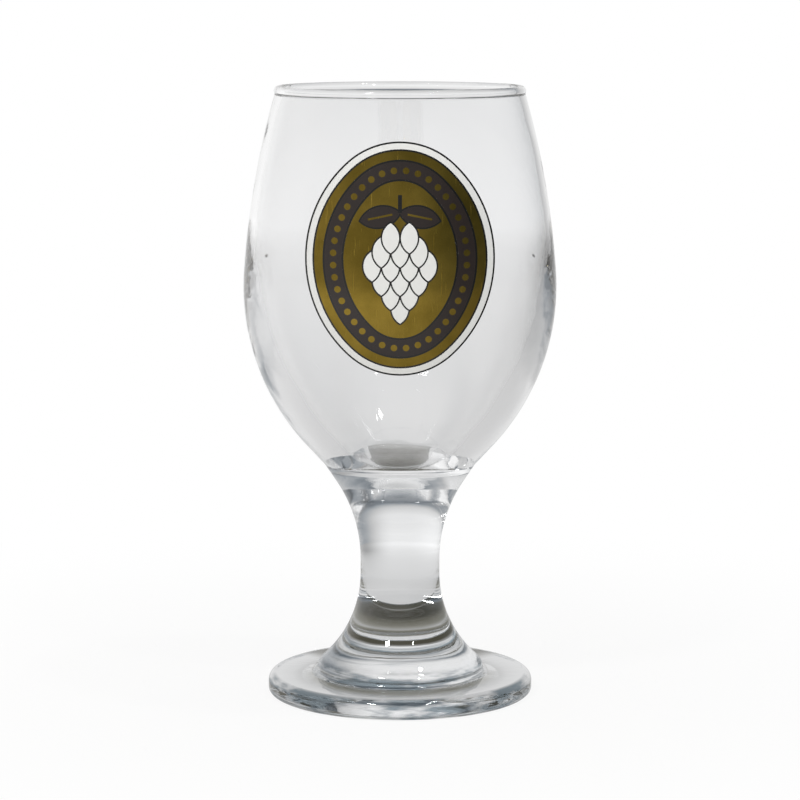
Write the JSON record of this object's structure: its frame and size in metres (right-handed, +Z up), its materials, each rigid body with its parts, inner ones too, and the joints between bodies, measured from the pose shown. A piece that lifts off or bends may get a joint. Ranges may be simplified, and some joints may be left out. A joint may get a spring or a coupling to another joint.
{
  "type": "chalice beer glass",
  "caption": "Clear footed beer glass with a rounded bowl that narrows to a beaded rim, a waisted solid stem, a flat round foot and an oval decorated badge fired on its front.",
  "frame": {"origin": "on the resting plane, under the middle of the foot", "axes": "+Z up along the glass's axis of revolution, towards the rim; the badge faces -Y and +X is to the right of someone looking at it"},
  "size_m": [0.0842, 0.0843, 0.165],
  "materials": {
    "glass": "polished clear soda glass, faintly grey-green where thick",
    "white_enamel": "glossy fired white",
    "gold_lustre": "bright gold with fine hairline marks",
    "brown_enamel": "glossy fired dark brown",
    "black_enamel": "glossy fired black"
  },
  "bodies": {
    "root": {"foot": "glass", "stem": "glass", "bowl": "glass", "badge_white": "white_enamel", "badge_gold": "gold_lustre", "badge_brown": "brown_enamel", "badge_black": "black_enamel"}
  },
  "joints": []
}
